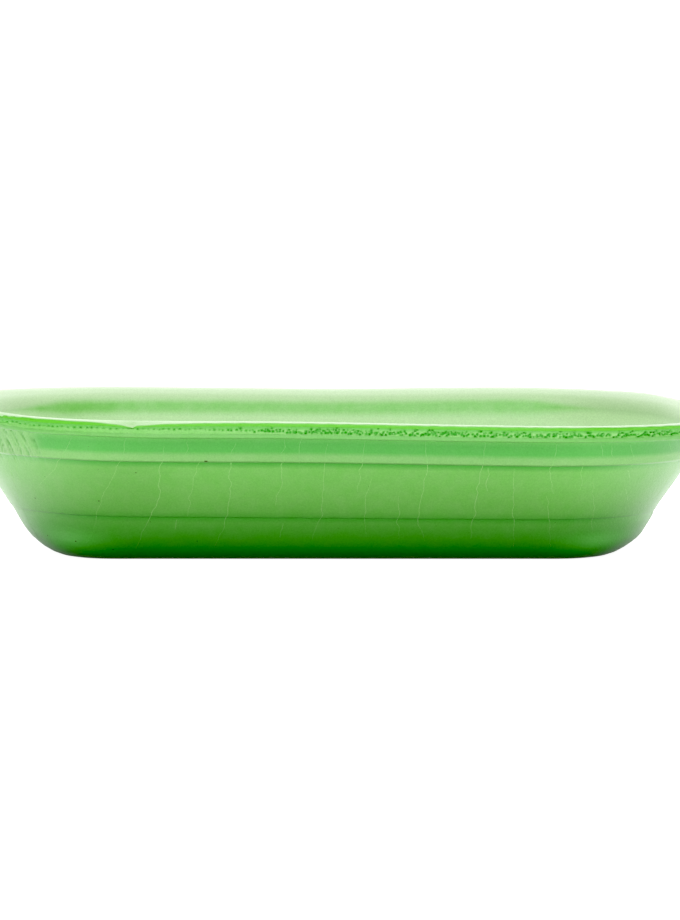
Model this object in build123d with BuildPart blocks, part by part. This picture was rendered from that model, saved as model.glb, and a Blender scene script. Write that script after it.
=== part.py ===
"""Rectangular thermoformed foam food tray, made as the three bonded plies of its sheet.

Millimetres, +Z up. The origin is the middle of the tray's footprint, on the surface it stands on,
and +X runs along the long side. Every level of the tray is a rounded rectangle round the same four
corner centres, so a point of the wall is given by its inset from the rim's cut edge and its height.
"""

import os

from build123d import *

# Overall size of the tray
LENGTH = 225.0
WIDTH = 133.0
HEIGHT = 40.0
RIM_CORNER_RADIUS = 58.5

# The sheet: full thickness where the rim was die cut, thinner where forming stretched it
FLANGE_THICKNESS = 3.9
WALL_THICKNESS = 3.2

# Rim flange: a low crown near the cut edge, then a fall to the neck
CROWN_RISE = 0.2
CROWN_INSET = 4.5
FLANGE_DROP = 2.1

# Shoulder bead under the neck, and the step half way down the wall
SHOULDER_INSET = 12.0
SHOULDER_HEIGHT = 28.5
BEAD_HEIGHT = 2.3
BEAD_PROUD = 0.6
STEP_INSET = 22.9
STEP_HEIGHT = 13.0
STEP_PROUD = 0.5

# Heel: where the wall turns into the foot that the tray stands on
HEEL_INSET = 30.4
HEEL_RADIUS = 10.6

# Floor panel, raised inside the ring-shaped foot
FOOT_INNER_INSET = 42.0
PANEL_INSET = 43.4
PANEL_RISE = 1.2
PANEL_MITRE = 1.18

# Share of the sheet's thickness, counted from the outside, at which one ply meets the next
SKIN_TO_CORE = 0.36
CORE_TO_SKIN = 0.66

# The corner centres, and so the straight part of each side's half
CORNER_X = LENGTH / 2 - RIM_CORNER_RADIUS
CORNER_Y = WIDTH / 2 - RIM_CORNER_RADIUS

# Both faces of the sheet as (inset, height, bend radius), from the cut edge to the floor's middle.
# They have the same corners in the same order, so that a ply boundary can lie between them.
OUTSIDE = [
    (0.0, HEIGHT - CROWN_RISE - FLANGE_THICKNESS, 0.0),
    (4.2, HEIGHT - FLANGE_THICKNESS, 10.0),
    (9.3, 34.9, 1.6),
    (10.9, 31.2, 1.0),
    (SHOULDER_INSET, SHOULDER_HEIGHT, 0.0),
    (STEP_INSET, STEP_HEIGHT, 0.0),
    (HEEL_INSET, 0.0, HEEL_RADIUS),
    (FOOT_INNER_INSET, 0.0, 0.6),
    (PANEL_INSET, PANEL_RISE, 0.6),
    (RIM_CORNER_RADIUS, PANEL_RISE, 0.0),
]
INSIDE = [
    (0.0, HEIGHT - CROWN_RISE, 0.0),
    (CROWN_INSET, HEIGHT, 14.0),
    (10.9, HEIGHT - FLANGE_DROP, 3.0),
    (12.3, 34.0, 2.0),
    (14.7, 30.4, 0.0),
    (25.6, 14.2, 0.0),
    (32.2, WALL_THICKNESS, HEEL_RADIUS - WALL_THICKNESS),
    (FOOT_INNER_INSET - PANEL_MITRE, WALL_THICKNESS, 0.8),
    (PANEL_INSET - PANEL_MITRE, WALL_THICKNESS + PANEL_RISE, 0.8),
    (RIM_CORNER_RADIUS, WALL_THICKNESS + PANEL_RISE, 0.0),
]

# The outside as it is seen: the same line, with the bead standing proud under the neck, and the
# wall standing proud above the step.
SHOULDER_BEAD = [
    (10.9, SHOULDER_HEIGHT + BEAD_HEIGHT + 0.4, 0.35),
    (10.45, SHOULDER_HEIGHT + BEAD_HEIGHT, 0.35),
    (SHOULDER_INSET - BEAD_PROUD, SHOULDER_HEIGHT + 0.2, 0.25),
    (SHOULDER_INSET, SHOULDER_HEIGHT, 0.0),
]
WALL_STEP = [
    (STEP_INSET - STEP_PROUD, STEP_HEIGHT + 0.1, 0.2),
    (STEP_INSET, STEP_HEIGHT, 0.0),
]
OUTER_FACE = OUTSIDE[:3] + SHOULDER_BEAD + WALL_STEP + OUTSIDE[6:]


def ply_boundary(share):
    """The line inside the sheet at this share of its thickness, counted from the outside."""
    return [
        tuple(low + share * (high - low) for low, high in zip(outer, inner))
        for outer, inner in zip(OUTSIDE, INSIDE)
    ]


def ply_section(lower, upper):
    """The closed section between two lines of the sheet, with its bends rounded."""
    corners = lower + upper[::-1]
    with BuildSketch() as section:
        with BuildLine():
            Polyline(*[(inset, height) for inset, height, _ in corners], close=True)
        make_face()
        for inset, height, radius in corners:
            if radius > 0:
                fillet(vertices().sort_by_distance((inset, height))[0], radius)
    return section.sketch


# Section planes of the front side and of the left end, both with insets to the right and +Z up
FRONT = Plane(origin=(-CORNER_X, -WIDTH / 2, 0), x_dir=(0, 1, 0), z_dir=(1, 0, 0))
END = Plane(origin=(-LENGTH / 2, 0, 0), x_dir=(1, 0, 0), z_dir=(0, -1, 0))
CORNER_AXIS = Axis((-CORNER_X, -CORNER_Y, 0), (0, 0, -1))

# outer_skin is the underside of the flange, the bead, the stepped wall, the heel and the foot.
# foam_core is the foamed middle, open to the air only at the rim's cut edge.
# inner_skin is what the food lies on, up to the top of the flange.
PLIES = {
    "outer_skin": (OUTER_FACE, ply_boundary(SKIN_TO_CORE)),
    "foam_core": (ply_boundary(SKIN_TO_CORE), ply_boundary(CORE_TO_SKIN)),
    "inner_skin": (ply_boundary(CORE_TO_SKIN), INSIDE),
}

os.makedirs("parts", exist_ok=True)
for name, (lower, upper) in PLIES.items():
    section = ply_section(lower, upper)
    floor_height = lower[-1][1]
    floor_thickness = upper[-1][1] - floor_height
    with BuildPart() as ply:
        # One quarter of the tray: half the front, the corner, half the end and the floor between
        with BuildSketch(FRONT) as front_section:
            add(section)
        extrude(amount=CORNER_X)
        revolve(front_section.sketch, axis=CORNER_AXIS, revolution_arc=90)
        with BuildSketch(END):
            add(section)
        extrude(amount=CORNER_Y)
        with BuildSketch(Plane.XY.offset(floor_height)):
            Rectangle(CORNER_X, CORNER_Y, align=(Align.MAX, Align.MAX))
        extrude(amount=floor_thickness)
        mirror(about=Plane.XZ)
        mirror(about=Plane.YZ)
    ply.part.label = name
    export_step(ply.part, f"parts/{name}.step")
    print(name, ply.part.bounding_box(), round(ply.part.volume), "mm3")
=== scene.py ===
import math

import bmesh
import bpy
import numpy as np
from mathutils import Matrix, Vector


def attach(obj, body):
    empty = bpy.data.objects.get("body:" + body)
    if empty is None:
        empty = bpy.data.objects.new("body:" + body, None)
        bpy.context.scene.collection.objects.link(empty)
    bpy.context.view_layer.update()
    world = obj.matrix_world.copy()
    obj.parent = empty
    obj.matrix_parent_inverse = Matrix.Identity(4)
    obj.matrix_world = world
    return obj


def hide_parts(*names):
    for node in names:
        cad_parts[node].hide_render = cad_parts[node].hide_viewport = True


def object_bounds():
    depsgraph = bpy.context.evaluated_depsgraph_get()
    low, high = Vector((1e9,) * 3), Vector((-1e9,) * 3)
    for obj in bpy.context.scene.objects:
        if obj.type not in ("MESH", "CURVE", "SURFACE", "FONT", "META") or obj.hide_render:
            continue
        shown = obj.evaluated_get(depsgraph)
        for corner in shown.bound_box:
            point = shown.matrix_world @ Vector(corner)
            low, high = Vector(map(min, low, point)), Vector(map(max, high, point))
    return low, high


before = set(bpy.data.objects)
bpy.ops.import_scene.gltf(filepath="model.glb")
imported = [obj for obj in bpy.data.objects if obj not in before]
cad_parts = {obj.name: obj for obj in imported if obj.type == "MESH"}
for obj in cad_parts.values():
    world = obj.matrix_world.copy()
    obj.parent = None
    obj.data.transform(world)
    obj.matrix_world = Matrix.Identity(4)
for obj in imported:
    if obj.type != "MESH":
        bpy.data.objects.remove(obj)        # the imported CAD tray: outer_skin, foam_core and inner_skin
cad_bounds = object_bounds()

# Everything below is in millimetres, in the CAD frame, until a mesh is made.
MM = 0.001
rng = np.random.default_rng(7)
WELD = 0.002             # points of one mesh that are closer than this are one point

# ---------------------------------------------------------------- the tray's driving sizes
low, high = cad_bounds
HALF_LENGTH = (high.x - low.x) / 2 / MM
HALF_WIDTH = (high.y - low.y) / 2 / MM
HEIGHT = 40.4            # of the rim's crown, before the used tray is bent
RIM_RADIUS = 58.5
CORNER_X = HALF_LENGTH - RIM_RADIUS
CORNER_Y = HALF_WIDTH - RIM_RADIUS
ARC_RADIUS = 50.0        # distances along the outline are measured at this radius in the corners

# How finely curves are divided
SHARPEST_UNSEEN = 0.01   # a bend that turns less than this, in radians, stays a corner
WIDEST_STEP = 0.22       # the largest turn of one step, in radians
SAME_POINT = 1e-4        # the least distance between two points of a line
COARSER = 3.0            # how much further apart points stand where the camera doesn't look closely
ALIGNED = 0.999999       # a direction's part along an axis, from which on it counts as along it

# Heights on the rim's cut edge: bottom of the lip, bottom and top of the core with its torn cells, top
LIP_BOTTOM = 35.9
CELLS_BOTTOM = 37.1
CELLS_TOP = 39.2
CUT_TOP = 40.2

# The faces of the sheet as (inset from the cut edge, height, bend radius). The boundaries between its
# plies are seen only at the cut edge, so they have arcs only at the crown and the heel.
OUTER_FACE = [
    (0.25, LIP_BOTTOM, 0.25),
    (4.2, 36.1, 10.0),
    (9.7, 35.6, 0.9),
    (10.9, 31.0, 1.5),
    (11.5, 28.85, 0.3),
    (12.25, 28.35, 0.2),
    (22.6, 12.85, 0.2),
    (23.05, 12.5, 0.2),
    (30.4, 0.0, 11.5),
    (42.0, 0.0, 0.6),
    (43.4, 1.2, 0.6),
    (RIM_RADIUS, 1.2, 0.0),
]
INNER_FACE = [
    (0.25, CUT_TOP, 0.2),
    (4.5, HEIGHT, 14.0),
    (10.6, 38.3, 5.5),
    (13.1, 32.2, 9.0),
    (25.6, 14.2, 9.0),
    (32.2, 3.2, 7.4),
    (40.8, 3.2, 0.8),
    (42.2, 4.4, 0.8),
    (RIM_RADIUS, 4.4, 0.0),
]
SKIN_TO_CORE = [
    (0.0, CELLS_BOTTOM, 0.0),
    (4.3, 37.4, 8.0),
    (9.9, 36.4, 0.0),
    (11.5, 32.2, 0.0),
    (24.0, 13.4, 0.0),
    (31.0, 1.15, 9.4),
    (41.6, 1.15, 0.0),
    (43.0, 2.35, 0.0),
    (RIM_RADIUS, 2.35, 0.0),
]
CORE_TO_SKIN = [
    (0.0, CELLS_TOP, 0.0),
    (4.4, 38.6, 8.0),
    (10.4, 37.1, 0.0),
    (11.9, 33.1, 0.0),
    (24.7, 13.8, 0.0),
    (31.6, 2.1, 8.5),
    (41.2, 2.1, 0.0),
    (42.6, 3.3, 0.0),
    (RIM_RADIUS, 3.3, 0.0),
]


# ---------------------------------------------------------------- sections and outlines
def rounded_line(corners, spacing, fine_to=math.inf):
    """Points along a line of (inset, height, radius) corners, with each bend as an arc. They stand
    COARSER times as far apart beyond the inset fine_to."""
    def spacing_at(point):
        return spacing if point[0] < fine_to else COARSER * spacing

    points = np.array([corner[:2] for corner in corners])
    line = [points[0]]
    radii = [corner[2] for corner in corners[1:]]
    for before, here, after, radius in zip(points, points[1:], points[2:], radii):
        into = (here - before) / np.linalg.norm(here - before)
        out = (after - here) / np.linalg.norm(after - here)
        turn = math.acos(np.clip(into @ out, -1, 1))
        if radius == 0 or turn < SHARPEST_UNSEEN:
            line.append(here)
            continue
        side = np.sign(into[0] * out[1] - into[1] * out[0])
        start = here - into * radius * math.tan(turn / 2)
        centre = start + side * radius * np.array([-into[1], into[0]])
        arm = start - centre
        steps = max(2, math.ceil(radius * turn / spacing_at(here)), math.ceil(turn / WIDEST_STEP))
        for angle in np.linspace(0, turn * side, steps + 1):
            spun = [math.cos(angle) * arm[0] - math.sin(angle) * arm[1],
                    math.sin(angle) * arm[0] + math.cos(angle) * arm[1]]
            line.append(centre + spun)
    line.append(points[-1])
    filled = [line[0]]
    for here in line[1:]:
        start = filled[-1]
        gap = np.linalg.norm(here - start)
        if gap < SAME_POINT:
            continue
        steps = math.ceil(gap / spacing_at(start))
        filled += [start + (here - start) * step / steps for step in range(1, steps + 1)]
    return np.array(filled)


def columns(front, elsewhere):
    """The tray's outline as columns (x, y, nx, ny): a point of the corner centres' rectangle and the
    direction in which the section stands there. It starts at the front left and runs anticlockwise,
    with one spacing along the front and its two corners and another round the rest."""
    corners = [(-CORNER_X, -CORNER_Y), (CORNER_X, -CORNER_Y), (CORNER_X, CORNER_Y), (-CORNER_X, CORNER_Y)]
    # for each side in turn, the spacing along it and round the corner after it
    gaps = [(front, front), (elsewhere, elsewhere), (elsewhere, elsewhere), (elsewhere, front)]
    rows = []
    for side, (along_side, round_corner) in enumerate(gaps):
        start, end = np.array(corners[side]), np.array(corners[(side + 1) % 4])
        facing = math.radians(90 * side - 90)
        steps = round(np.linalg.norm(end - start) / along_side)
        for t in np.arange(steps) / steps:
            rows.append((*(start + t * (end - start)), math.cos(facing), math.sin(facing)))
        steps = round(math.pi / 2 * ARC_RADIUS / round_corner)
        for angle in facing + np.arange(steps) / steps * math.pi / 2:
            rows.append((*end, math.cos(angle), math.sin(angle)))
    return np.array(rows)


def arc_of(column):
    """How far along the outline a column stands, in mm from the middle of the front, positive to the
    right, measured at ARC_RADIUS in the corners."""
    x, y, nx, ny = np.moveaxis(column, -1, 0)
    turned = np.arctan2(np.abs(nx), -ny) * ARC_RADIUS
    along_end = np.where(np.abs(nx) > ALIGNED, y + CORNER_Y, np.where(ny > -1e-9, 2 * CORNER_Y, 0))
    along_back = np.where(ny > ALIGNED, CORNER_X - np.abs(x), 0)
    far = np.where(ny < -ALIGNED, np.abs(x), CORNER_X + turned + along_end + along_back)
    side = np.where(np.abs(nx) > 1e-9, nx, x)
    return np.where(side < 0, -far, far)


def column_at(arc):
    """The column that stands this far along the outline: arc_of the other way round."""
    arc = np.asarray(arc, float)
    left = np.abs(arc) - CORNER_X
    quarter = math.pi / 2 * ARC_RADIUS
    first = np.clip(left / quarter, 0, 1)
    second = np.clip((left - quarter - 2 * CORNER_Y) / quarter, 0, 1)
    angle = (first + second) * math.pi / 2
    x = CORNER_X + np.minimum(left, 0) - np.maximum(left - 2 * quarter - 2 * CORNER_Y, 0)
    y = np.clip(left - quarter, 0, 2 * CORNER_Y) - CORNER_Y
    sign = np.where(arc < 0, -1.0, 1.0)
    return np.stack([sign * x, y, sign * np.sin(angle), -np.cos(angle)], axis=-1)


# ---------------------------------------------------------------- how the used tray is bent
def smooth(value, start, end):
    """0 before start, 1 after end, and a smooth step between."""
    t = np.clip((value - start) / (end - start), 0, 1)
    return t * t * (3 - 2 * t)


def band(value, rise, fall):
    """1 between the ranges rise and fall, with a smooth step over each of them, and 0 outside."""
    return smooth(value, *rise) * (1 - smooth(value, *fall))


def waves(x, y, z, size):
    """A gentle unevenness, from -1 to 1, with bumps of about this size."""
    k = 2 * math.pi / size
    return (np.sin(k * x + 1.3 * np.sin(k * 0.7 * y + 0.4)) * np.sin(k * 0.9 * y + 2.1)
            + np.sin(k * 0.63 * x + k * 1.3 * z + 4.0) * np.cos(k * 0.8 * y - k * z)) / 2


# Each end of the wall stands this much further out, fading in and out over these heights
LEFT_SPREAD = 0.95
LEFT_SPREAD_HEIGHTS = ((2, 8), (22, 30))
RIGHT_SPREAD = 0.75
RIGHT_SPREAD_HEIGHTS = ((2, 6), (10.5, 14))
# The foot's corners stand further out too, by this times nx squared times ny to the power of 4
FOOT_CORNER_SPREAD = 23
FOOT_HEIGHTS = (0, 9)
UNDER_FOOT = (31, 42)    # insets over which all of this fades out again
# The wall's waves are across it, the rim's are up and down: how high and how long
WALL_WAVE, WALL_WAVE_SIZE = 0.13, 46
RIM_WAVE, RIM_WAVE_SIZE = 0.22, 95
# Each level sinks to the right by this much for each mm, as (height, slope)
TILT = ((0.0, 0.0), (13.0, 0.0077), (28.5, 0.0127), (37.0, 0.0130), (40.0, 0.0150))
RIM_HEIGHTS = (29, 37)   # the rim's own bends set in over these heights
FRONT_LEFT_RISE = 1.2
BACK_RISE, BACK_DROP = 1.4, 0.4
LIP_RISE, LIP_END_RISE = 0.4, 0.5
# The pinch in the front rim, and how fast it fades to the left, to the right, and round its tip
DENT_X = -53.4
DENT_DEPTH = 1.55
DENT_FADE_LEFT = 5.5
DENT_FADE_RIGHT = 9.0
DENT_RIGHT_SHARE = 0.72
DENT_TIP = 1.6


def spread(column, inset, height):
    """How much further out the used tray stands than a new one."""
    nx, ny = column[..., 2], column[..., 3]
    left = LEFT_SPREAD * smooth(-nx, 0.5, 1.0) * band(height, *LEFT_SPREAD_HEIGHTS)
    right = RIGHT_SPREAD * smooth(nx, 0.5, 1.0) * band(height, *RIGHT_SPREAD_HEIGHTS)
    corners = FOOT_CORNER_SPREAD * nx ** 2 * ny ** 4 * (1 - smooth(height, *FOOT_HEIGHTS))
    return (left + right + corners) * (1 - smooth(inset, *UNDER_FOOT))


def dent(x, ny, inset, height):
    """How far the pinch pushes the top of the cut edge down on to the torn cells."""
    away = x - DENT_X
    to_left, to_right = np.exp(away / DENT_FADE_LEFT), DENT_RIGHT_SHARE * np.exp(-away / DENT_FADE_RIGHT)
    tip = np.clip(1 - np.abs(away) / DENT_TIP, 0, 1)
    depth = DENT_DEPTH * np.maximum(np.where(away < 0, to_left, to_right), tip)
    at_edge = smooth(-ny, 0.9, 0.99) * (1 - smooth(inset, 0.2, 3.6))
    return depth * at_edge * smooth(height, CELLS_TOP - 0.9, CUT_TOP)


def place(column, inset, height):
    """The point of the bent tray at this inset and height of a column, all as arrays, in mm."""
    nx, ny = column[..., 2], column[..., 3]
    reach = RIM_RADIUS - inset + spread(column, inset, height)
    x = column[..., 0] + reach * nx
    y = column[..., 1] + reach * ny
    off_floor = smooth(height, 0.5, 9) * (1 - smooth(inset, 40, 50))
    uneven = WALL_WAVE * waves(x, y, height, WALL_WAVE_SIZE) * off_floor
    x = x + uneven * nx
    y = y + uneven * ny
    z = height - x * np.interp(height, *zip(*TILT))
    z = z + RIM_WAVE * waves(x, y, 0 * x, RIM_WAVE_SIZE) * smooth(height, 10, 36)
    # the rim stands up at the front left, its back is level to the right, and its underside is
    # nearer to the torn cells towards the left end
    front_left = FRONT_LEFT_RISE * smooth(-x, 76, 106) * (1 - smooth(y, -10, 30))
    back = (BACK_RISE * band(x, (-10, 60), (90, 106)) - BACK_DROP) * smooth(y, 5, 40)
    z = z + (front_left + back) * smooth(height, *RIM_HEIGHTS)
    underside = band(height, (31, LIP_BOTTOM), (36.2, 38.4)) * (1 - smooth(inset, 6, 11))
    z = z + (LIP_RISE * smooth(-x, 45, 72) + LIP_END_RISE * smooth(-x, 84, 104)) * underside
    return np.stack([x, y, z - dent(x, ny, inset, height)], axis=-1)


# ---------------------------------------------------------------- materials
def linear(red, green, blue):
    """An sRGB colour, 0 to 255, as the linear colour that a shader takes."""
    parts = np.array([red, green, blue]) / 255
    return (*np.where(parts <= 0.04045, parts / 12.92, ((parts + 0.055) / 1.055) ** 2.4), 1.0)


# The foam's patterns: how many features there are in a metre, how strongly they colour the foam, and
# the height of their bumps in metres
MOTTLE_SCALE, MOTTLE_AMOUNT = 260, 0.16
GRAIN_SCALE, GRAIN_AMOUNT, GRAIN_HEIGHT = 2600, 0.18, 0.00006
CELL_SCALE, CELL_HEIGHT = 1500, 0.00008
GRAIN_COLOUR = linear(40, 108, 22)
# painted shade: where the attribute shade is 1, a colour is darkened to a quarter of itself
FULL_SHADE = (0.25, 0.25, 0.25, 1.0)
FOAM_IOR = 1.6

# Sockets of the Mix node when it mixes colours
MIX_FACTOR, MIX_FIRST, MIX_SECOND, MIX_RESULT = 0, 6, 7, 2


def foam_material(name, skin, pale, deep, roughness, bump_strength):
    """Formed foam: closed-cell grain and slow mottling, a paler colour (attribute pale), a deeper green
    (attribute deep), and painted shade that darkens it (attribute shade). pale is a painted sheen on the
    bead and on the inner skin's rim and wall, whitening on the crumpled corner, and paler plain foam
    between crowded torn cells. deep is the colour of cut foam on the cut faces, and painted shade in the
    neck, the grooves, the creases, the torn cells' hollows, at the heel and on the hairlines."""
    material = bpy.data.materials.new(name)
    material.use_nodes = True
    tree = material.node_tree
    nodes, links = tree.nodes, tree.links
    nodes.clear()
    out = nodes.new("ShaderNodeOutputMaterial")
    shader = nodes.new("ShaderNodeBsdfPrincipled")
    links.new(shader.outputs[0], out.inputs[0])
    place_at = nodes.new("ShaderNodeTexCoord").outputs["Object"]

    def noise(scale, detail, rough):
        node = nodes.new("ShaderNodeTexNoise")
        node.inputs["Scale"].default_value = scale
        node.inputs["Detail"].default_value = detail
        node.inputs["Roughness"].default_value = rough
        links.new(place_at, node.inputs["Vector"])
        return node.outputs["Fac"]

    def ramp(value, lowest, highest, bottom, top):
        node = nodes.new("ShaderNodeMapRange")
        limits = {"From Min": lowest, "From Max": highest, "To Min": bottom, "To Max": top}
        for socket, number in limits.items():
            node.inputs[socket].default_value = number
        links.new(value, node.inputs["Value"])
        return node.outputs["Result"]

    def mix(amount, first, second, kind="MIX"):
        node = nodes.new("ShaderNodeMix")
        node.data_type, node.blend_type = "RGBA", kind
        for socket, value in ((MIX_FACTOR, amount), (MIX_FIRST, first), (MIX_SECOND, second)):
            if isinstance(value, (float, int, tuple)):
                node.inputs[socket].default_value = value
            else:
                links.new(value, node.inputs[socket])
        return node.outputs[MIX_RESULT]

    def attribute(key):
        node = nodes.new("ShaderNodeAttribute")
        node.attribute_name = key
        return node.outputs["Fac"]

    mottle = noise(MOTTLE_SCALE, 3, 0.55)
    grain = noise(GRAIN_SCALE, 2, 0.6)
    cells = nodes.new("ShaderNodeTexVoronoi")
    cells.feature = "SMOOTH_F1"
    cells.inputs["Scale"].default_value = CELL_SCALE
    cells.inputs["Smoothness"].default_value = 0.6
    links.new(place_at, cells.inputs["Vector"])

    colour = mix(ramp(mottle, 0.3, 0.7, 0.0, MOTTLE_AMOUNT), skin, pale)
    # pale is partly a painted sheen, deep is partly painted shade, and shade is all painted shade
    colour = mix(attribute("pale"), colour, pale)
    colour = mix(attribute("deep"), colour, deep)
    colour = mix(attribute("shade"), colour, FULL_SHADE, "MULTIPLY")
    colour = mix(ramp(grain, 0.3, 0.7, 0.0, GRAIN_AMOUNT), colour, GRAIN_COLOUR)
    links.new(colour, shader.inputs["Base Color"])
    links.new(ramp(grain, 0.3, 0.7, roughness - 0.06, roughness + 0.08), shader.inputs["Roughness"])
    shader.inputs["IOR"].default_value = FOAM_IOR
    shader.inputs["Sheen Weight"].default_value = 0.25
    shader.inputs["Sheen Roughness"].default_value = 0.4

    bump = nodes.new("ShaderNodeBump")
    bump.inputs["Strength"].default_value = bump_strength
    bump.inputs["Distance"].default_value = CELL_HEIGHT
    links.new(cells.outputs["Distance"], bump.inputs["Height"])
    fine = nodes.new("ShaderNodeBump")
    fine.inputs["Strength"].default_value = bump_strength * 0.8
    fine.inputs["Distance"].default_value = GRAIN_HEIGHT
    links.new(grain, fine.inputs["Height"])
    links.new(bump.outputs[0], fine.inputs["Normal"])
    links.new(fine.outputs[0], shader.inputs["Normal"])
    return material


# The deep colours are the cut foam's own colour on cut faces and painted shade elsewhere. PALE and INNER_PALE
# are the mottling's pale and also the colour of a painted sheen.
SKIN = linear(127, 196, 101)
PALE = linear(170, 206, 150)
DEEP = linear(30, 164, 46)
TORN_DEEP = linear(40, 146, 22)
INNER_PALE = linear(206, 230, 188)
INNER_DEEP = linear(84, 174, 28)
STRETCHED = linear(164, 214, 136)
SPECK = linear(66, 78, 34)
SPECK_PALE = linear(104, 100, 56)
outer_foam = foam_material("outer_skin_foam", SKIN, PALE, DEEP, roughness=0.34, bump_strength=0.35)
core_foam = foam_material("torn_cell_foam", SKIN, PALE, TORN_DEEP, roughness=0.5, bump_strength=0.5)
inner_foam = foam_material("inner_skin_foam", SKIN, INNER_PALE, INNER_DEEP, roughness=0.38, bump_strength=0.3)
stretched_foam = foam_material("stretch_line_foam", STRETCHED, PALE, DEEP, roughness=0.5, bump_strength=0.3)
speck_dirt = foam_material("speck_dirt", SPECK, SPECK_PALE, DEEP, roughness=0.7, bump_strength=0.4)


# ---------------------------------------------------------------- meshes
def make_piece(name, faces, points, attributes, material, node=None):
    """One object from points in mm, with a float attribute per vertex for each name. It rides on the
    tray, takes the finish of a material slot and, if a CAD node is named, stands for it."""
    mesh = bpy.data.meshes.new(name)
    mesh.from_pydata((points * MM).tolist(), [], faces)
    for key, values in attributes.items():
        layer = mesh.attributes.new(key, "FLOAT", "POINT")
        layer.data.foreach_set("value", np.ascontiguousarray(values, np.float32))
    work = bmesh.new()
    work.from_mesh(mesh)
    bmesh.ops.remove_doubles(work, verts=work.verts, dist=WELD * MM)
    bmesh.ops.recalc_face_normals(work, faces=work.faces)
    work.to_mesh(mesh)
    work.free()
    mesh.polygons.foreach_set("use_smooth", [True] * len(mesh.polygons))
    mesh.materials.append(material)
    piece = bpy.data.objects.new(name, mesh)
    bpy.context.scene.collection.objects.link(piece)
    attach(piece, "root")
    if node:
        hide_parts(node)


def grid_faces(count, rows, first=0, closed=True):
    """Quads between neighbouring columns of `rows` points each."""
    faces = []
    for c in range(count if closed else count - 1):
        here, there = first + c * rows, first + (c + 1) % count * rows
        faces += [(here + r, there + r, there + r + 1, here + r + 1) for r in range(rows - 1)]
    return faces


def make_ply(name, outline, underside, edge, topside, dress, material, node):
    """A closed ply. underside and topside run from the rim to the middle of the floor, and edge climbs
    the cut edge between them. dress(column, inset, height) gives the insets, the heights and the
    attributes of this ply's own details."""
    section = np.concatenate([underside[::-1], edge, topside])
    shape = (len(outline), len(section))
    column = np.broadcast_to(outline[:, None, :], (*shape, 4))
    inset, height, attributes = dress(column, np.broadcast_to(section[:, 0], shape),
                                      np.broadcast_to(section[:, 1], shape))
    points = [place(column, inset, height).reshape(-1, 3)]
    values = {key: [value.reshape(-1)] for key, value in attributes.items()}
    faces = grid_faces(*shape)
    # the rectangle between the corner centres closes the floor, below and above
    front, right = outline[:, 3] < -ALIGNED, outline[:, 2] > ALIGNED
    xs = np.unique(np.round(np.append(outline[front, 0], CORNER_X), 6))
    ys = np.unique(np.round(np.append(outline[right, 1], CORNER_Y), 6))
    grid = np.array([(x, y, 0.0, -1.0) for x in xs for y in ys])
    first = shape[0] * shape[1]
    for level, end in ((underside[-1, 1], 0), (topside[-1, 1], -1)):
        points.append(place(grid, np.full(len(grid), RIM_RADIUS), np.full(len(grid), level)))
        faces += grid_faces(len(xs), len(ys), first=first, closed=False)
        first += len(grid)
        for key, value in attributes.items():
            values[key].append(np.full(len(grid), value[0, end]))
    values = {key: np.concatenate(parts) for key, parts in values.items()}
    make_piece(name, faces, np.concatenate(points), values, material, node)


def bump_at(value, centre, width):
    """1 at the centre, falling to 0 at this distance either side."""
    return np.clip(1 - np.abs(value - centre) / width, 0, 1)


def edge_rows(start, end, count):
    """Points between two heights of the cut edge, ends left out."""
    return np.array([(0.0, start + (end - start) * t) for t in (np.arange(count) + 0.5) / count])


# The plies' own spacings are as fine as the camera needs, with under 200,000 triangles in a piece
PLY_SPACING = 9.0        # how far apart points stand on the boundaries inside the sheet


# ---------------------------------------------------------------- the outer skin
EDGE_INSET = 0.3         # what stands within this inset is the rim's cut edge
NECK_INSET, NECK_BOTTOM = 11.6, 28.4
# Distances along the outline (see arc_of) and heights over which things fade in and out
CREASED = ((-106, -95), (-84, -79))
CRUMPLED = ((-108, -98), (-88, -80))
BEAD_HEIGHTS = ((28.0, 28.7), (30.2, 31.8))
HEEL_HEIGHTS = (2, 20)
GROOVES = ((28.3, 0.5), (12.6, 0.6))     # the height and the half width of each
CREASE_TOP = 33.0
CREASE_SPACING = 1.25
CREASE_DEPTH = 0.6
LIP_WAVE = 0.05


def creases(arc, height):
    """The folds of the crumpled corner, which slant: 1 along the bottom of a fold, 0 between them."""
    drop = CREASE_TOP - height
    line = arc - 0.6 * drop + 0.05 * drop ** 2 + 0.3 * np.sin(0.9 * arc) + 0.2 * np.sin(2.3 * arc - drop)
    fold = (1 - np.abs(np.sin(math.pi * line / CREASE_SPACING))) ** 2.2
    uneven = 0.55 + 0.45 * np.sin(1.7 * arc - 0.6 * drop)
    return fold * uneven * band(arc, *CREASED) * smooth(height, 27, 29.5)


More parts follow.
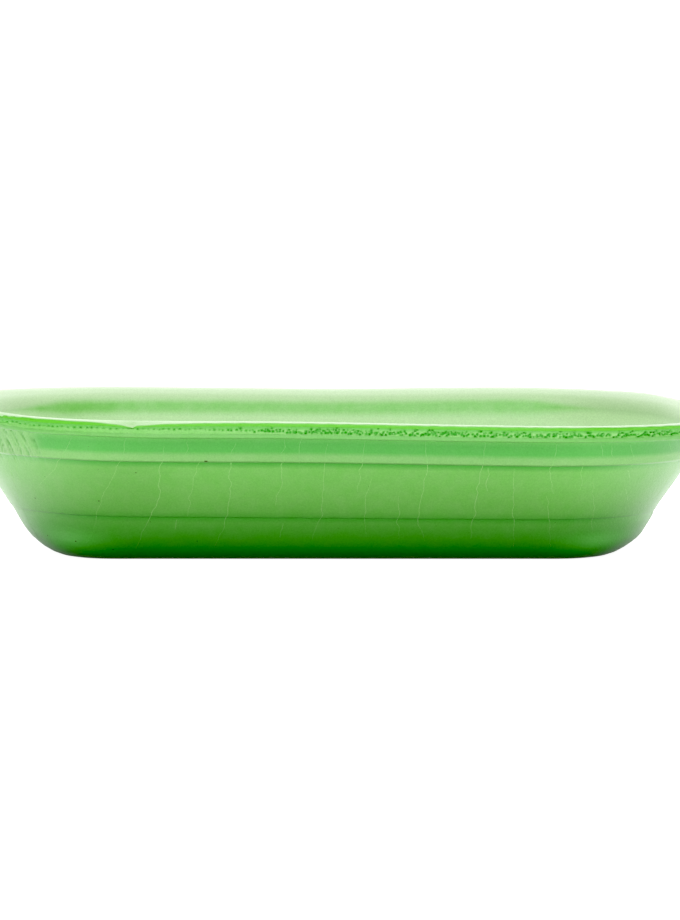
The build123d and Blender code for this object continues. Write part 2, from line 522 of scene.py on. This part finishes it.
def dress_outer(column, inset, height):
    """Creases at the front left corner and a wavy lip. The bead is paler with a painted sheen and the
    crumpled corner is whitened. The neck, the grooves, the creases' folds and the heel are deeper green,
    a painted shade, and the lip has the deeper colour of cut foam. Painted shade also darkens the lip,
    the bead, the ends, the heel and the left wall."""
    arc = arc_of(column)
    crease = creases(arc, height)
    on_neck = (inset < NECK_INSET) & (height > NECK_BOTTOM)
    inset = inset + CREASE_DEPTH * crease * (inset > EDGE_INSET) * (inset < 13)
    on_edge = (inset < EDGE_INSET) & (height < CELLS_BOTTOM + 0.01)
    on_wall_outside = inset > 10
    bead = band(height, *BEAD_HEIGHTS) * on_wall_outside
    crumpled = band(arc, *CRUMPLED) * on_neck
    ends = smooth(np.abs(column[..., 2]), 0.3, 0.95) * (1 - smooth(inset, 34, 42))
    # painted shade: deeper green and darker towards the floor over these heights
    heel = 1 - smooth(height, *HEEL_HEIGHTS)
    # painted shade in the two grooves
    groove = np.max([bump_at(height, *line) for line in GROOVES], axis=0) * on_wall_outside
    # painted shade: the neck under the lip is deeper green, eased off just below the lip, a painted
    # lightening where the lip's own shadow already falls
    neck = (0.6 - 0.2 * smooth(height, 33.8, 35.2)) * on_neck * (inset > EDGE_INSET)
    neck = neck * (1 - bead) * (1 - crumpled)
    # painted shade on the left part of the wall, above the heel
    left_wall_shade = smooth(-arc, 35, 60) * (inset > 11) * (1 - heel)
    # pale: a painted sheen on the bead, and whitening on the crumpled corner away from its folds
    pale = np.clip(0.2 * bead + 0.25 * crumpled * (1 - crease), 0, 1)
    # deep: painted shade in the neck, at the heel, in the grooves (less at the ends) and in the creases'
    # folds, and the cut foam's deeper colour on the lip
    deep = [neck, 0.5 * heel, 0.6 * groove * (1 - 0.7 * ends), 0.5 * crease, 0.2 * on_edge]
    # painted shade on the lip, the bead, the upper ends, the heel and the left wall
    shade = [0.3 * on_edge, 0.15 * bead, 0.14 * ends * smooth(height, 10, 16), 0.06 * heel * (1 - ends),
             0.13 * left_wall_shade]
    lip = LIP_WAVE * np.sin(arc * 1.1 + np.sin(arc * 0.37) * 3) * on_edge
    return inset + lip, height, {"pale": pale, "deep": np.max(deep, axis=0), "shade": np.max(shade, axis=0)}


make_ply("tray_outer_skin", columns(0.4, 2.0), rounded_line(OUTER_FACE, 0.65, 12.2),
         edge_rows(LIP_BOTTOM + 0.25, CELLS_BOTTOM, 5), rounded_line(SKIN_TO_CORE, PLY_SPACING),
         dress_outer, outer_foam, "outer_skin")


# ---------------------------------------------------------------- the core
FRONT_ARC = 130          # as far as this to either side the cells follow the front's own crowding
CELL_ROW = 38.45         # the height of the single row of cells
CORE_MIDDLE = 38.1
LINE_ARCS = ((78, 92), (108, 122))       # to the left, where a torn line joins the cells
CORE_ROUGHNESS = 0.05
UNTORN = 0.08            # a hollow that is less deep than this still looks like plain foam


def crowding(arc):
    """0 where the torn cells stand in one row, 1 where they crowd the whole core."""
    return np.where(np.abs(arc) < FRONT_ARC, smooth(arc, -45, 0), 0.5 + 0.5 * np.sin(arc / 47 + 0.6))


def torn_cells():
    """The cells as (arc, height, half width, half height, depth), all round the rim."""
    half = CORNER_X + math.pi * ARC_RADIUS + 2 * CORNER_Y + CORNER_X
    cells = []
    arc = -half
    while arc < half:
        crowded = float(crowding(arc))
        arc += rng.uniform(0.95, 1.65) - 0.55 * crowded
        cells.append((arc, CELL_ROW - 0.75 * crowded + rng.normal(0, 0.1 + 0.1 * crowded),
                      rng.uniform(0.24, 0.48), rng.uniform(0.18, 0.3) + 0.12 * crowded,
                      rng.uniform(0.28, 0.45) + 0.12 * crowded))
        for _ in range(rng.binomial(2, 0.7 * crowded)):
            cells.append((arc + rng.uniform(-0.6, 0.6), 38.3 + rng.normal(0, 0.32),
                          rng.uniform(0.15, 0.42), rng.uniform(0.18, 0.42), rng.uniform(0.3, 0.6)))
    return cells


def dress_core(column, inset, height):
    """Torn cells along the cut edge, in one row at the front left and crowded elsewhere."""
    arc = arc_of(column)
    at_edge = inset < 0.01
    hollow = np.zeros_like(arc)
    order = np.argsort(arc[:, 0])
    along = arc[order, 0]
    for centre, level, wide, tall, depth in torn_cells():
        first, last = np.searchsorted(along, (centre - 1.6 * wide, centre + 1.6 * wide))
        near = order[first:last]
        away = ((arc[near] - centre) / wide) ** 2 + ((height[near] - level) / tall) ** 2
        hollow[near] = np.maximum(hollow[near], depth * np.exp(-away ** 1.6))
    level = CORE_MIDDLE + 0.12 * np.sin(arc * 1.9) + 0.1 * np.sin(arc * 4.3 + 1)
    torn_line = 0.4 * band(-arc, *LINE_ARCS) * bump_at(height, level, 0.35)
    hollow = np.maximum(hollow, torn_line) * at_edge
    rough = np.abs(CORE_ROUGHNESS * rng.standard_normal(inset.shape) * at_edge)
    crowded = crowding(arc)
    plain = hollow < UNTORN
    below = 1 - smooth(height, 38.2 - 0.9 * crowded, 38.7 + 0.3 * crowded)
    # paler plain foam between the crowded torn cells
    pale = 0.3 * crowded * bump_at(height, CORE_MIDDLE, 0.9) * at_edge * plain
    # the hollows are deeper green, the cut foam's colour together with painted shade in them; the core's
    # upper part has the cut foam's deeper colour
    deep = np.maximum(np.clip(hollow * 2.3, 0, 1), 0.15 + 0.4 * (1 - below) - 0.8 * pale)
    # shade: painted shade on the plain lower core
    return inset + hollow + rough, height, {"pale": pale, "deep": deep, "shade": 0.12 * below * plain}


make_ply("tray_foam_core", columns(0.27, 0.6), rounded_line(SKIN_TO_CORE, PLY_SPACING),
         edge_rows(CELLS_BOTTOM, CELLS_TOP, 14), rounded_line(CORE_TO_SKIN, PLY_SPACING),
         dress_core, core_foam, "foam_core")


# ---------------------------------------------------------------- the inner skin
RAGGED = ((78, 88), (112, 124))          # to the left, where the cut edge is ragged
RAG_DEPTH = 0.42
CREST_HEIGHTS = (35.8, 38.2)             # painted sheen from here up to the rim
LOWER_HEIGHTS = (32.0, 34.8)             # and from here down
SKIN_ROUGHNESS = 0.035


def dress_inner(column, inset, height):
    """Cut face, flange top, neck, wall and floor. The rim and the wall below the neck are paler, a painted
    sheen, which leaves a greener band between them, and that band is narrower at the ends. The cut face
    has the deeper colour of cut foam, and painted shade darkens the rim, most at the ends."""
    arc = arc_of(column)
    cut = (inset < 0.01) * 1.0
    ragged = band(-arc, *RAGGED)
    jag = np.abs(np.sin(arc * 1.25)) + 0.6 * np.abs(np.sin(arc * 2.9 + 1))
    fall = RAG_DEPTH * ragged * jag + 0.05 * np.sin(arc * 0.9 + 2 * np.sin(arc * 0.23)) + 0.05
    height = height - fall * smooth(height, CELLS_TOP, CUT_TOP) * (1 - smooth(inset, 0.1, 1.2))
    height = height - 0.45 * ragged * bump_at(inset, 4.0, 4.0) * (height > CUT_TOP - 0.2)
    rough = SKIN_ROUGHNESS * np.abs(rng.standard_normal(inset.shape)) * cut
    ends = smooth(column[..., 2], 0, 0.6) + smooth(-column[..., 2], 0.5, 0.95)
    front = smooth(-column[..., 3], 0.3, 0.9)
    # painted sheen on the rim, weaker at the front, and on the wall below the neck, reaching further at the
    # ends
    crest = smooth(height + 2.4 * ends, *CREST_HEIGHTS) * (1 - cut)
    lower_sheen = (1 - smooth(height - 2.2 * ends, *LOWER_HEIGHTS)) * (inset > 9)
    lower_sheen = lower_sheen * (0.35 + (0.3 + 0.15 * ends) * smooth(height, 14, 30))
    pale = np.clip(np.maximum((0.8 - 0.3 * front) * crest, lower_sheen), 0, 1)
    # painted shade on the rim, most at the ends
    return inset + rough, height, {"pale": pale, "deep": 0.95 * cut, "shade": (0.08 + 0.12 * ends) * crest}


make_ply("tray_inner_skin", columns(0.45, 0.9), rounded_line(CORE_TO_SKIN, 7.0),
         edge_rows(CELLS_TOP, CUT_TOP - 0.2, 6), rounded_line(INNER_FACE, 0.9, 12.5),
         dress_inner, inner_foam, "inner_skin")


# ---------------------------------------------------------------- stretch lines and specks
# The outside of the section down to the heel: its points, its direction, and the distance along it
HEEL_END = 33
outside = rounded_line(OUTER_FACE, 0.5)
outside = outside[:np.argmax(outside[:, 0] > HEEL_END)]
slope = np.gradient(outside, axis=0)
slope /= np.linalg.norm(slope, axis=1)[:, None]
along_wall = np.append(0, np.cumsum(np.linalg.norm(np.diff(outside, axis=0), axis=1)))

FRONT_END, BACK_MIDDLE = 108.0, 280      # where the other hairlines start and stop, along the outline
STATION_GAP = 0.5
WANDER, WANDER_SIZE = 0.28, 1.8          # how far a hairline strays, and over what length
HALF_WIDTHS = (0.1, 0.16)
TOP_PROUD, EDGE_PROUD, BACK_PROUD = 0.03, -0.02, -0.08


def on_wall(arc, height, proud):
    """Points of the bent outside at these distances along the tray and heights, standing proud."""
    at = np.interp(-np.asarray(height), -outside[:, 1], along_wall)
    inset, level, run, fall = (np.interp(at, along_wall, row) for row in (*outside.T, *slope.T))
    return place(column_at(arc), inset + fall * proud, level - run * proud)


# The hairlines of the front and its corners, each as (distance along the outline, height) from its
# top to its bottom
FRONT_LINES = [
    [(-71.5, 35), (-75, 29), (-79.5, 25.5), (-93, 18.5)],
    [(-87, 17.5), (-99, 13)],
    [(-94, 28), (-97, 22), (-103, 14)],
    [(-98, 27), (-104, 16)],
    [(-56, 35.6), (-57.5, 29), (-60, 25), (-69, 13.5), (-72, 8), (-76.5, 5)],
    [(-45.5, 33), (-47, 27), (-47.5, 18), (-51.5, 10), (-54.5, 3.5)],
    [(-39.5, 34.5), (-40, 29.5)],
    [(-36.5, 29), (-38, 23), (-40, 13)],
    [(-42.5, 12), (-43.5, 9)],
    [(-27, 34), (-28.5, 26), (-28, 20), (-30, 10), (-32.5, 4.5)],
    [(-13.5, 35), (-14, 29), (-14.5, 22), (-16, 16)],
    [(-14, 11), (-15, 7)],
    [(-9, 35.6), (-9.5, 28.5)],
    [(-2, 34), (-3, 22.5), (-3.5, 14), (-6, 6.5)],
    [(8, 35), (6.5, 20.5)],
    [(10, 24.5), (8.5, 19), (8.5, 8)],
    [(17.5, 19.5), (17.5, 6.5)],
    [(24, 35.6), (25, 27), (22.5, 13), (24.5, 6)],
    [(40.5, 35), (38.5, 20), (37, 7)],
    [(41.5, 28), (41.5, 21)],
    [(48, 28), (48.5, 18), (49, 4.5)],
    [(60.5, 35), (58.5, 27), (60.5, 20.5)],
    [(58, 20), (60, 13.5), (62, 4.5)],
    [(67.5, 30), (69.5, 21.5)],
    [(73, 24), (79, 10), (85.5, 4.5)],
    [(73, 35), (74, 31)],
    [(76, 34), (78, 29)],
    [(82.5, 34.5), (85, 28)],
    [(84, 27.5), (87, 23)],
    [(85, 22.5), (94, 14.5)],
    [(97.5, 34.5), (103, 29.5)],
    [(95, 10), (100.5, 5.5)],
]


def other_lines():
    """Hairlines on the ends and the back, of the same kind, at random."""
    lines = []
    for side in (-1, 1):
        arc = FRONT_END
        while arc < BACK_MIDDLE:
            top = rng.uniform(20, 35)
            bottom = max(4.0, top - rng.uniform(6, 30))
            lean = rng.normal(0, 1.5)
            start = side * arc
            lines.append([(start, top), (start + lean, (top + bottom) / 2), (start + 1.4 * lean, bottom)])
            arc += rng.uniform(6, 15)
    return lines


def stretch_line(knots):
    """A thin closed ribbon along one hairline: its points, four to a station, its faces, and how deep
    the colour of each point is. It stands proud in the middle and its edges are in the wall."""
    arcs, heights = np.array(knots, float).T
    runs = np.interp(-heights, -outside[:, 1], along_wall)
    stations = np.linspace(runs[0], runs[-1], max(6, round((runs[-1] - runs[0]) / STATION_GAP)))
    bends = np.arange(runs[0] - 3, runs[-1] + 3, WANDER_SIZE)
    wander = np.interp(stations, bends, rng.normal(0, WANDER, len(bends)))
    fine = rng.normal(0, 0.04, len(stations))
    arc = np.interp(stations, runs, arcs) + wander + fine
    height = np.interp(stations, along_wall, outside[:, 1])
    share = np.linspace(0, 1, len(stations))
    half = rng.uniform(*HALF_WIDTHS) * (0.35 + 0.65 * np.sin(math.pi * share) ** 0.5)
    half = half * rng.uniform(0.75, 1.15, len(stations))
    sides = [on_wall(arc - half, height, EDGE_PROUD), on_wall(arc, height, TOP_PROUD),
             on_wall(arc + half, height, EDGE_PROUD), on_wall(arc, height, BACK_PROUD)]
    points = np.stack(sides, axis=1).reshape(-1, 3)
    last = 4 * (len(stations) - 1)
    faces = [(0, 1, 2, 3), (last + 3, last + 2, last + 1, last)]
    for step in range(0, last, 4):
        faces += [(step + i, step + (i + 1) % 4, step + 4 + (i + 1) % 4, step + 4 + i) for i in range(4)]
    # painted shade: the hairline is deeper green at the neck and towards the heel, as the wall around it is
    deep = 0.1 + 0.35 * smooth(height, 28.5, 30) + 0.5 * (1 - smooth(height, 3, 16))
    return points, faces, np.repeat(deep, 4)


def make_stretch_lines():
    """All the hairlines as one piece."""
    points, faces, deep, first = [], [], [], 0
    for knots in FRONT_LINES + other_lines():
        ribbon, sides, deeper = stretch_line(knots)
        points.append(ribbon)
        deep.append(deeper)
        faces += [tuple(first + corner for corner in side) for side in sides]
        first += len(ribbon)
    make_piece("tray_stretch_lines", faces, np.concatenate(points), {"deep": np.concatenate(deep)},
               stretched_foam)


# Specks caught in the foam, as (distance along the outline, height, half width, half height)
SPECKS = [(-34.5, 28.9, 0.5, 0.2), (-67, 17, 0.2, 0.2), (-94.5, 16.5, 0.2, 0.15), (-81.5, 5.2, 0.2, 0.3),
          (-98, 6, 0.2, 0.2), (-53.5, 25.4, 0.25, 0.12), (-65, 3.3, 0.25, 0.15), (-37.5, 5.8, 0.15, 0.15)]
STREWN = 30              # more of them, at random, all round
SPECK_PROUD = 0.05


def make_specks():
    """Flat specks, each a squashed ball on the wall."""
    work = bmesh.new()
    strewn = [(rng.uniform(-270, 270), rng.uniform(4, 34), rng.uniform(0.06, 0.13), rng.uniform(0.06, 0.13))
              for _ in range(STREWN)]
    for arc, height, wide, tall in SPECKS + strewn:
        centre = on_wall(arc, height, 0.0)
        level = on_wall(arc + 0.5, height, 0.0) - centre
        out = on_wall(arc, height, 0.5) - centre
        level, out = level / np.linalg.norm(level), out / np.linalg.norm(out)
        axes = np.column_stack([level * wide, np.cross(out, level) * tall, out * SPECK_PROUD, centre])
        squash = Matrix(axes.tolist() + [[0, 0, 0, 1]])
        bmesh.ops.create_icosphere(work, subdivisions=2, radius=1, matrix=squash)
    points = np.array([v.co[:] for v in work.verts])
    faces = [tuple(v.index for v in face.verts) for face in work.faces]
    work.free()
    make_piece("tray_specks", faces, points, {}, speck_dirt)


make_stretch_lines()
make_specks()


# ---------------------------------------------------------------- floor, light and camera
FLOOR_RADIUS = 60        # metres
FLOOR_DROP = -0.00002    # metres, so that the tray's foot never lies in the floor's own plane
FLOOR_SIDES = 96
# The light that the floor gives back: the distances from the corner centres' rectangle, in metres,
# between which it rises, and how strong it is before and after
BOUNCE = {"From Min": 0.032, "From Max": 0.125, "To Min": 0.14, "To Max": 1.85}
FLOOR_GREY = (0.3, 0.3, 0.3, 1)
FLOOR_GLOW = 0.85


def make_floor():
    """A wide pale floor, white to the camera. The light that it gives back fades towards the tray,
    as it does where the tray is lit from behind and stands in its own soft shadow."""
    mesh = bpy.data.meshes.new("studio_floor")
    turns = [2 * math.pi * side / FLOOR_SIDES for side in range(FLOOR_SIDES)]
    ring = [(FLOOR_RADIUS * math.cos(turn), FLOOR_RADIUS * math.sin(turn), FLOOR_DROP) for turn in turns]
    mesh.from_pydata(ring, [], [tuple(range(FLOOR_SIDES))])
    material = bpy.data.materials.new("pale_floor")
    material.use_nodes = True
    nodes, links = material.node_tree.nodes, material.node_tree.links

    def maths(kind, first, second=None):
        node = nodes.new("ShaderNodeMath")
        node.operation = kind
        for socket, value in zip(node.inputs, (first, second)):
            if isinstance(value, (float, int)):
                socket.default_value = value
            elif value is not None:
                links.new(value, socket)
        return node.outputs[0]

    where = nodes.new("ShaderNodeSeparateXYZ")
    links.new(nodes.new("ShaderNodeTexCoord").outputs["Object"], where.inputs[0])
    ray = nodes.new("ShaderNodeLightPath").outputs
    # off the ends it rises twice as fast for a glossy ray, so that the ends reflect a brighter floor
    off_ends = maths("ADD", 1.0, ray["Is Glossy Ray"])
    squares = []
    for axis, corner, steepness in (("X", CORNER_X * MM, off_ends), ("Y", CORNER_Y * MM, 1.0)):
        past = maths("SUBTRACT", maths("ABSOLUTE", where.outputs[axis]), corner)
        past = maths("MULTIPLY", maths("MAXIMUM", past, 0.0), steepness)
        squares.append(maths("POWER", past, 2.0))
    distance = maths("SQRT", maths("ADD", *squares))
    given_back = nodes.new("ShaderNodeMapRange")
    given_back.interpolation_type = "SMOOTHSTEP"
    for socket, number in BOUNCE.items():
        given_back.inputs[socket].default_value = number
    links.new(distance, given_back.inputs["Value"])
    bounce = nodes.new("ShaderNodeEmission")
    links.new(given_back.outputs["Result"], bounce.inputs["Strength"])

    seen = nodes["Principled BSDF"]
    seen.inputs["Base Color"].default_value = FLOOR_GREY
    seen.inputs["Roughness"].default_value = 0.9
    seen.inputs["Emission Color"].default_value = (1, 1, 1, 1)
    seen.inputs["Emission Strength"].default_value = FLOOR_GLOW
    mixed = nodes.new("ShaderNodeMixShader")
    links.new(ray["Is Camera Ray"], mixed.inputs[0])
    links.new(bounce.outputs[0], mixed.inputs[1])
    links.new(seen.outputs[0], mixed.inputs[2])
    links.new(mixed.outputs[0], nodes["Material Output"].inputs["Surface"])
    mesh.materials.append(material)
    floor = bpy.data.objects.new("studio_floor", mesh)
    bpy.context.scene.collection.objects.link(floor)


ORIGIN = Vector((0, 0, 0))


def soft_light(name, place_m, size, power):
    """A round soft light that is aimed at the tray. Metres and watts."""
    light = bpy.data.lights.new(name, "AREA")
    light.shape, light.size, light.energy = "DISK", size, power
    lamp = bpy.data.objects.new(name, light)
    bpy.context.scene.collection.objects.link(lamp)
    lamp.location = place_m
    lamp.rotation_euler = (ORIGIN - Vector(place_m)).to_track_quat("-Z", "Y").to_euler()


# How strong the surroundings are, from in front of the tray to behind it, over their direction's Y
SKY = {"From Min": -0.2, "From Max": 0.95, "To Min": 0.4, "To Max": 1.8}


def make_world():
    """White surroundings, brightest behind the tray, and plain white where the camera sees them."""
    world = bpy.data.worlds.new("studio")
    bpy.context.scene.world = world
    world.use_nodes = True
    nodes, links = world.node_tree.nodes, world.node_tree.links
    light = nodes["Background"]
    across = nodes.new("ShaderNodeSeparateXYZ")
    links.new(nodes.new("ShaderNodeTexCoord").outputs["Generated"], across.inputs[0])
    strength = nodes.new("ShaderNodeMapRange")
    for socket, number in SKY.items():
        strength.inputs[socket].default_value = number
    links.new(across.outputs["Y"], strength.inputs["Value"])
    links.new(strength.outputs["Result"], light.inputs["Strength"])
    light.inputs["Color"].default_value = (1, 1, 1, 1)
    white = nodes.new("ShaderNodeBackground")
    white.inputs["Color"].default_value = (1, 1, 1, 1)
    mixed = nodes.new("ShaderNodeMixShader")
    links.new(nodes.new("ShaderNodeLightPath").outputs["Is Camera Ray"], mixed.inputs[0])
    links.new(light.outputs[0], mixed.inputs[1])
    links.new(white.outputs[0], mixed.inputs[2])
    links.new(mixed.outputs[0], nodes["World Output"].inputs["Surface"])


make_floor()
make_world()
soft_light("front_softbox", (0.0, -1.7, 0.75), size=0.9, power=11)
soft_light("overhead_softbox", (0.0, -0.6, 1.15), size=1.2, power=5)

# The camera: a long lens, a little over a metre away, looking down on the rim by a few degrees
SENSOR = 36
FOCAL_LENGTH = 156.5
LOOKS_DOWN = 5.22
CAMERA_PLACE = (0.0015, -1.125, 0.12735)
camera_data = bpy.data.cameras.new("camera")
camera = bpy.data.objects.new("camera", camera_data)
bpy.context.scene.collection.objects.link(camera)
camera_data.sensor_width = SENSOR
camera_data.lens = FOCAL_LENGTH
camera.location = CAMERA_PLACE
camera.rotation_euler = (math.radians(90 - LOOKS_DOWN), 0, 0)
camera_data.clip_start, camera_data.clip_end = 0.05, 200
bpy.context.scene.camera = camera

# A contrasty print, like that of a product picture: deep shadows and clean whites
BLACK = 0.055
WHITE = 0.9
view = bpy.context.scene.view_settings
view.view_transform = "Standard"
view.use_curve_mapping = True
view.curve_mapping.black_level = (BLACK, BLACK, BLACK)
view.curve_mapping.white_level = (WHITE, WHITE, WHITE)
view.curve_mapping.update()
